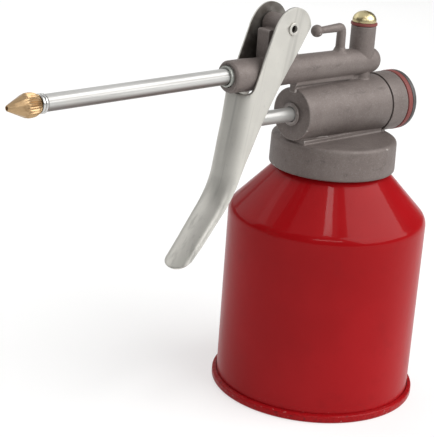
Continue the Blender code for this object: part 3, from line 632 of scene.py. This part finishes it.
def hook():
    """Post, arm and ball of the hanging hook that is cast on the tube."""
    bend = 1.6
    points = [Vector((HOOK_X, 0, z)) for z in (TUBE_Z + 2, 143.0, 147.4)]
    points += [Vector((x, 0, z)) for x, z in arc((HOOK_X - bend, 150.0 - bend), bend, 10, 90, 7)]
    points += [Vector((-9.0, 0, 149.75)), Vector((BALL_X, 0, 149.5))]
    radii = [2.0, 1.9, 1.85] + [1.75] * 8 + [1.5, 1.3]
    foot = lathe([(0, TUBE_Z), (2.7, TUBE_Z), (2.6, 140.9), (2.1, 141.9), (0, 142.2)], 40)
    ball = moved(ball_shape(2.4), BALL_X, 0, 149.5)
    return combine(swept_tube(points, radii, 28), [moved(foot, x=HOOK_X), ball], "UNION")


def machining():
    """Bores, sockets and faces that are cut into the casting."""
    plug_bore = 9.9
    bore = lathe([(0, -21.5), (BORE_R, -21.5), (BORE_R, 20.0), (plug_bore, 20.0), (plug_bore, 30.0),
                  (0, 30.0)], 72)
    rod_hole = rod_shape(3.05, -27.0, -20.5)
    seal_pocket = rod_shape(3.65, -25.25, -23.3)
    spout_socket = lathe([(0, -60.5), (4.2, -60.5), (4.2, -57.0), (3.3, -57.0), (3.3, -49.2), (0, -49.2)], 64)
    discharge = rod_shape(1.6, -55.0, COLUMN_X, 40)
    valve_bore = lathe([(0, 132.0), (2.6, 132.0), (2.6, 146.0), (3.5, 146.0), (3.5, 151.0), (0, 151.0)], 48)
    passage = rod_shape(1.2, BARREL_Z + 5, 133.0, 32)
    inlet = lathe([(0, 98.0), (3.5, 98.0), (3.5, 105.3), (2.5, 105.3), (2.5, 112.9), (0, 112.9)], 48)
    return [along_x(bore, BARREL_Z), along_x(rod_hole, BARREL_Z), along_x(seal_pocket, BARREL_Z),
            along_spout(spout_socket), along_x(discharge, TUBE_Z), moved(valve_bore, x=COLUMN_X),
            moved(passage, x=COLUMN_X), moved(inlet, x=COLUMN_X),
            along_y(rod_shape(PIVOT_HOLE_R, -8, 8, 48), *PIVOT)]


def groove():
    """Narrow groove round the barrel in front of the rear collar."""
    ring = lathe([(11.05, 19.85), (13.0, 19.85), (13.0, 20.35), (11.05, 20.35)], 96)
    return along_x(ring, BARREL_Z)


def pump_head():
    """Casting with soft inner corners: the union is remeshed, relaxed and thinned out, then machined."""
    obj = scratch_object(head_blank())
    remesh = obj.modifiers.new("remesh", "REMESH")
    remesh.mode = "VOXEL"
    remesh.voxel_size = 0.27
    remesh.adaptivity = 0.0
    relax = obj.modifiers.new("relax", "SMOOTH")
    relax.factor = 0.5
    relax.iterations = 2
    thin = obj.modifiers.new("thin", "DECIMATE")
    thin.ratio = 0.16
    boss = turned([(0, -25.6), (4.5, -25.6), (4.5, -23.8), (0, -23.8)], [0, 0.35, 0, 0], 72)
    blank = combine(applied(obj), [along_x(boss, BARREL_Z)], "UNION")
    body = combine(blank, machining() + [groove()], "DIFFERENCE")
    piece("head_casting", body, ZINC, HEAD, "pump_head", 38.0)


# ---------------------------------------------------------------- pump parts

def pump_parts():
    flange = 31.7
    rear = 34.0
    plug = turned([(6.3, 21.5), (9.6, 21.5), (9.6, flange), (12.1, flange), (12.1, rear), (0, rear),
                   (0, 26.5), (6.3, 26.5)], [0, 0.2, 0, 0.25, 1.4, 0, 0, 0], 96, 7)
    slot = box_shape((rear - 1.3, -9.0, BARREL_Z - 1.2), (rear + 1, 9.0, BARREL_Z + 1.2))
    piece("end_plug_body", combine(along_x(plug, BARREL_Z), [slot], "DIFFERENCE"), DARK, HEAD, "end_plug")
    ring = turned([(10.1, 29.1), (12.15, 29.1), (12.15, 31.5), (10.1, 31.5)], [0.1, 0.4, 0.4, 0.1], 96)
    piece("end_plug_ring", along_x(ring, BARREL_Z), FIBRE, HEAD, "end_plug_gasket")

    rod = [(0, ROD_TIP)] + arc((0, ROD_TIP + ROD_R), ROD_R, -78, -8, 7)
    rod += [(ROD_R, -52.0), (ROD_R, -18.6), (1.85, -18.6), (1.85, -5.2), (0, -5.2)]
    piece("pump_rod", along_x(lathe(rod, 64), BARREL_Z), TUBE, PISTON, "piston_rod")

    low = COLUMN_TOP + 1.5
    dome_r, rim, rise = 4.75, 0.5, 3.75
    dome = [(0, 147.6), (3.2, 147.6), (3.2, low), (dome_r, low), (dome_r, low + rim)]
    dome += [(dome_r * math.cos(math.radians(a)), low + rim + rise * math.sin(math.radians(a)))
             for a in range(8, 88, 8)]
    dome = moved(lathe(dome + [(0, low + rim + rise)], 72), x=COLUMN_X)
    cut = box_shape((COLUMN_X - 0.4, -6, low + 3.65), (COLUMN_X + 0.4, 6, low + 5.5))
    piece("dome_plug", combine(dome, [cut], "DIFFERENCE"), GILT, HEAD, "outlet_plug")
    washer = turned([(3.6, COLUMN_TOP + 0.2), (5.25, COLUMN_TOP + 0.2), (5.25, COLUMN_TOP + 1.3),
                     (3.6, COLUMN_TOP + 1.3)], [0.1, 0.3, 0.3, 0.1], 72)
    piece("dome_washer", moved(washer, x=COLUMN_X), FIBRE, HEAD, "outlet_washer")


# ---------------------------------------------------------------- spout

SPOUT_END = -138.7
NOZZLE_TIP = -153.2
NOZZLE_REAR = -141.4


def spout():
    bore, outside = 2.0, 3.0
    tube = turned([(bore, SPOUT_END), (outside, SPOUT_END), (outside, -49.5), (bore, -49.5)],
                  [0.1, 0.15, 0.15, 0.1], 64)
    piece("spout_pipe", along_spout(tube), SPOUT_TUBE, HEAD, "spout_tube")
    ferrule = turned([(3.15, -60.4), (3.95, -60.4), (3.95, -57.3), (3.15, -57.3)], [0.2, 0.5, 0.1, 0.1], 64)
    piece("spout_collar", along_spout(ferrule), FERRULE, HEAD, "spout_ferrule")
    collar = [(1.1, -144.7), (1.9, -144.7), (1.9, -141.2)]
    for centre in (-140.55, -139.5):
        collar.append((3.2, centre - 0.5))
        collar += [(3.2 + 0.25 * math.sin(math.radians(a)), centre - 0.42 * math.cos(math.radians(a)))
                   for a in range(15, 180, 15)]
    collar += [(3.15, -138.9), (1.75, -138.9), (1.75, -134.7), (1.1, -134.7)]
    piece("nozzle_ring", along_spout(lathe(collar, 64)), STEEL, HEAD, "nozzle_collar")
    piece("nozzle", along_spout(nozzle()), BRASS, HEAD, "spout_nozzle", 24.0)


def nozzle():
    """Faceted cone in front of a serrated grip that narrows to the collar."""
    flats, teeth, segments = 10, 28, 280
    outside = [(NOZZLE_TIP, 0.9), (NOZZLE_TIP + 0.1, 1.0), (-150.5, 2.2), (-148.5, 3.12), (-146.9, 3.85),
               (-146.3, 4.1), (-145.7, 4.24), (-144.6, 4.25), (-143.4, 4.12), (-142.8, 3.98), (-142.2, 3.66),
               (-141.7, 3.38), (NOZZLE_REAR, 3.3)]
    bore = [(NOZZLE_REAR, 2.2), (-148.3, 2.2), (-149.6, 0.7), (NOZZLE_TIP + 0.15, 0.7), (NOZZLE_TIP, 0.76)]
    bm = bmesh.new()
    rings = []
    step = 2 * math.pi / flats
    for x, radius in outside:
        flat_share = min(max((-145.4 - x) / 1.2, 0.0), 1.0) * 0.9        # flats fade out into the grip
        cut = 0.42 * min(max((x + 146.9) / 0.9, 0.0), 1.0)               # teeth start behind the cone
        ring = []
        for k in range(segments):
            turn = 2 * math.pi * k / segments
            flat = math.cos(step / 2) / math.cos((turn % step) - step / 2)
            tooth = abs((k * teeth / segments) % 1.0 - 0.5) * 2
            r = radius * (1 - flat_share * (1 - flat)) - cut * (1 - tooth) ** 0.8
            ring.append(bm.verts.new((r * math.cos(turn), r * math.sin(turn), x)))
        rings.append(ring)
    for x, radius in bore:
        ring = []
        for k in range(segments):
            turn = 2 * math.pi * k / segments
            ring.append(bm.verts.new((radius * math.cos(turn), radius * math.sin(turn), x)))
        rings.append(ring)
    stitch(bm, rings, segments)
    return bm


# ---------------------------------------------------------------- lever

LEVER_TOP = (-49.1, 160.0)    # x and z of the channel's front face at s = 0
CHANNEL_LENGTH = 62.0
BEND_RADIUS = 30.0
HANDLE_LEAN = 36.0            # degrees from upright, below the bend
HANDLE_LENGTH = 26.2
# Distance s down the front face, and the sheet's depth behind the face there
DEPTH_STATIONS = [(-9, 28.5), (0, 25.2), (12, 20.7), (25, 15.4), (40, 10.4), (50, 7.8), (60, 5.4), (72, 3.6),
                  (90, 3.0), (103, 2.4)]


def lever_frame(s):
    """The point at distance s down the front face, and the direction to the rear there."""
    lean = math.radians(LEVER_LEAN)
    bend = math.radians(HANDLE_LEAN - LEVER_LEAN)
    straight = min(s, CHANNEL_LENGTH)
    x = LEVER_TOP[0] - straight * math.sin(lean)
    z = LEVER_TOP[1] - straight * math.cos(lean)
    turned_by = min(max(s - CHANNEL_LENGTH, 0.0) / BEND_RADIUS, bend)
    x -= BEND_RADIUS * (math.cos(lean) - math.cos(lean + turned_by))
    z -= BEND_RADIUS * (math.sin(lean + turned_by) - math.sin(lean))
    rest = max(s - CHANNEL_LENGTH - BEND_RADIUS * bend, 0.0)
    lean += turned_by
    x -= rest * math.sin(lean)
    z -= rest * math.cos(lean)
    return Vector((x, 0, z)), Vector((math.cos(lean), 0, -math.sin(lean)))


def lever_depth(s):
    """Channel depth behind the front face: the stations joined by a smooth curve."""
    table = DEPTH_STATIONS
    for k in range(len(table) - 1):
        s0, d0 = table[k]
        s1, d1 = table[k + 1]
        if s <= s1:
            before = table[max(k - 1, 0)]
            after = table[min(k + 2, len(table) - 1)]
            m0 = (d1 - before[1]) / (s1 - before[0]) * (s1 - s0)
            m1 = (after[1] - d0) / (after[0] - s0) * (s1 - s0)
            t = (s - s0) / (s1 - s0)
            return ((2 * t ** 3 - 3 * t ** 2 + 1) * d0 + (t ** 3 - 2 * t ** 2 + t) * m0
                    + (3 * t ** 2 - 2 * t ** 3) * d1 + (t ** 3 - t ** 2) * m1)
    return table[-1][1]


def lever_half(s):
    """Half of the width, which narrows a little towards the tip."""
    return LEVER_HALF - 0.7 * min(max((s - 70.0) / 30.0, 0.0), 1.0)


def lever_section(s):
    """Outer (y, depth) loop of the sheet at s: a square channel that turns into a shallow trough."""
    half = lever_half(s)
    depth = lever_depth(s)
    trough_start, trough_fade = 48.0, 28.0
    blend = min(max((s - trough_start) / trough_fade, 0.0), 1.0)
    blend = blend * blend * (3 - 2 * blend)
    corner = 3.4 + 1.6 * min(max((s - 28.0) / 14.0, 0.0), 1.0)
    corner_y = corner + (half - 0.3 - corner) * blend
    corner_d = min(corner + (depth - corner) * blend, depth * 0.98)
    side = [(half, depth + (corner_d - depth) * k / 4) for k in range(4)]
    for a in range(0, 91, 9):
        side.append((half - corner_y * (1 - math.cos(math.radians(a))),
                     corner_d * (1 - math.sin(math.radians(a)))))
    inner = side[-1][0]
    web = [(inner * k / 3, 0.0) for k in (2, 1)]
    half_loop = [(-y, d) for y, d in side + web]
    return half_loop + [(0.0, 0.0)] + [(-y, d) for y, d in half_loop[::-1]]


def lever_blank():
    """The lever's sheet with its full thickness, before it is trimmed to its outline."""
    bend = math.radians(HANDLE_LEAN - LEVER_LEAN)
    length = CHANNEL_LENGTH + BEND_RADIUS * bend + HANDLE_LENGTH
    stations = [-9 + 3 * k for k in range(18)] + [45 + 1.25 * k for k in range(37)]
    stations += [91.5 + (length - 91.5) * (k / 12) for k in range(13)]
    tip_start = 88.0      # from here the rows bend into the rounded tip
    round_tip = 5.4
    bm = bmesh.new()
    grid = []
    for s in sorted(set(round(v, 4) for v in stations)):
        row = []
        for y, depth in lever_section(s):
            reach = s
            if s > tip_start:
                across = min(abs(y) / lever_half(s), 1.0)
                shortened = round_tip * (1 - math.sqrt(max(1 - across ** 2, 0)))
                reach = tip_start + (s - tip_start) * (length - shortened - tip_start) / (length - tip_start)
            point, rearward = lever_frame(reach)
            row.append(bm.verts.new(point + rearward * depth + Vector((0, y, 0))))
        grid.append(row)
    for upper, lower in zip(grid, grid[1:]):
        for k in range(len(upper) - 1):
            bm.faces.new((upper[k], upper[k + 1], lower[k + 1], lower[k]))
    bmesh.ops.recalc_face_normals(bm, faces=bm.faces)
    target = scratch_object(bm)
    shell = target.modifiers.new("sheet", "SOLIDIFY")
    shell.thickness = LEVER_T
    shell.use_even_offset = True
    shell.offset = -1.0
    result = applied(target)
    bmesh.ops.recalc_face_normals(result, faces=result.faces)
    return result


def lever():
    head = arc((PIVOT[0] + 0.5, PIVOT[1] - 0.6), 8.5, -14, 125, 54)
    head += [(-39.65, 158.83), (-40.4, 158.15), (-41.03, 157.46), (-41.6, 156.72), (-42.15, 155.9),
             (-42.65, 155.07), (-43.1, 154.2), (-43.5, 153.2)]
    notch = [(-51.2, 132.6), (-51.45, 131.95), (-51.8, 131.3), (-52.3, 130.6), (-52.9, 130.1), (-53.6, 129.7),
             (-54.3, 129.45), (-55.2, 129.4), (-80, 129.4)]
    outline = plate_shape([(-120, 40), (-20, 40), (-20, 148)] + head + notch, 12)
    hole = along_y(rod_shape(PIVOT_HOLE_R, -12, 12), *PIVOT)
    body = combine(lever_blank(), [outline], "INTERSECT")
    body = combine(body, [hole], "DIFFERENCE")
    obj = scratch_object(body)
    edge = obj.modifiers.new("edge", "BEVEL")
    edge.width = 0.14
    edge.segments = 2
    edge.limit_method = "ANGLE"
    edge.angle_limit = math.radians(45)
    edge.use_clamp_overlap = True
    piece("lever_sheet", applied(obj), SHEET, LEVER, "lever", 30.0)

    inner, outer = LEVER_HALF + 0.1, LEVER_HALF + 0.6
    bore, shank, rim = 1.35, 1.9, 2.4
    rivet = turned([(bore, -outer), (rim, -outer), (rim, -inner), (shank, -inner), (shank, inner),
                    (rim, inner), (rim, outer), (bore, outer)], [0.25, 0.4, 0, 0, 0, 0, 0.4, 0.25], 56)
    piece("rivet", along_y(rivet, *PIVOT), SHEET, HEAD, "pivot_rivet")


# ---------------------------------------------------------------- set, light and camera

def floor():
    bm = bmesh.new()
    bmesh.ops.create_grid(bm, x_segments=8, y_segments=8, size=4.0)
    mesh = bpy.data.meshes.new("floor")
    bm.to_mesh(mesh)
    bm.free()
    obj = bpy.data.objects.new("floor", mesh)
    bpy.context.collection.objects.link(obj)
    f = Finish("floor_paper", (0.47, 0.47, 0.465), 0.7)
    f.tint(f.noise(3, 3), (0.455, 0.455, 0.455), 0.4)
    f.set("Emission Color", (1, 1, 1, 1))
    f.set("Emission Strength", 0.5)
    mesh.materials.append(f.mat)


def softbox(name, position, target, size, power):
    data = bpy.data.lights.new(name, "AREA")
    data.shape = "RECTANGLE"
    data.size, data.size_y = size
    data.energy = power
    obj = bpy.data.objects.new(name, data)
    bpy.context.collection.objects.link(obj)
    obj.location = position
    obj.rotation_mode = "QUATERNION"
    obj.rotation_quaternion = (Vector(target) - Vector(position)).to_track_quat("-Z", "Y")


# The camera's place, in millimetres from the can's foot, and its turn
CAMERA = (-389.06, -369.518, 247.428)
AZIMUTH, ELEVATION, ROLL = -41.752, 18.548, 4.069
FOCAL_SHARE = 1385.644 / 437      # focal length over the picture's long side


def around(azimuth, distance, height):
    """A point round the can: azimuth 0 is in front (-Y), as for the camera."""
    a = math.radians(azimuth)
    return Vector((AXIS_X * MM + distance * math.sin(a), -distance * math.cos(a), height))


def set_light():
    world = bpy.data.worlds.new("studio")
    bpy.context.scene.world = world
    world.use_nodes = True
    world.node_tree.nodes["Background"].inputs["Color"].default_value = (1, 1, 1, 1)
    world.node_tree.nodes["Background"].inputs["Strength"].default_value = 0.07
    centre = around(0, 0, 0.08)
    softbox("key", around(30, 1.4, 1.25), centre, (2.4, 1.8), 52)
    softbox("front", around(-42, 0.95, 0.66), centre, (0.6, 0.12), 1.8)
    softbox("glint", around(-40, 0.45, 1.15), centre, (0.14, 0.1), 0.45)
    softbox("rim", around(-160, 1.1, 0.65), centre, (1.0, 0.8), 3.0)
    softbox("back", around(150, 1.0, 0.5), centre, (0.9, 0.8), 1.5)
    softbox("top", around(-150, 0.4, 1.35), centre, (2.2, 1.8), 9.0)


def set_camera():
    a, e, r = (math.radians(v) for v in (AZIMUTH, ELEVATION, ROLL))
    back = Vector((math.sin(a) * math.cos(e), -math.cos(a) * math.cos(e), math.sin(e)))
    right = Vector((math.cos(a), math.sin(a), 0))
    up = back.cross(right)
    right, up = right * math.cos(r) + up * math.sin(r), up * math.cos(r) - right * math.sin(r)
    place = (Vector(CAMERA) + Vector((AXIS_X, 0, 0))) * MM
    data = bpy.data.cameras.new("camera")
    data.sensor_width = 36.0
    data.lens = 36.0 * FOCAL_SHARE
    data.clip_start = 0.01
    cam = bpy.data.objects.new("camera", data)
    bpy.context.collection.objects.link(cam)
    cam.matrix_world = Matrix(((right.x, up.x, back.x, place.x), (right.y, up.y, back.y, place.y),
                               (right.z, up.z, back.z, place.z), (0, 0, 0, 1)))
    bpy.context.scene.camera = cam


can_shell()
can_base()
pump_head()
pump_parts()
spout()
lever()
floor()
set_light()
set_camera()
bpy.context.scene.view_settings.view_transform = "Standard"
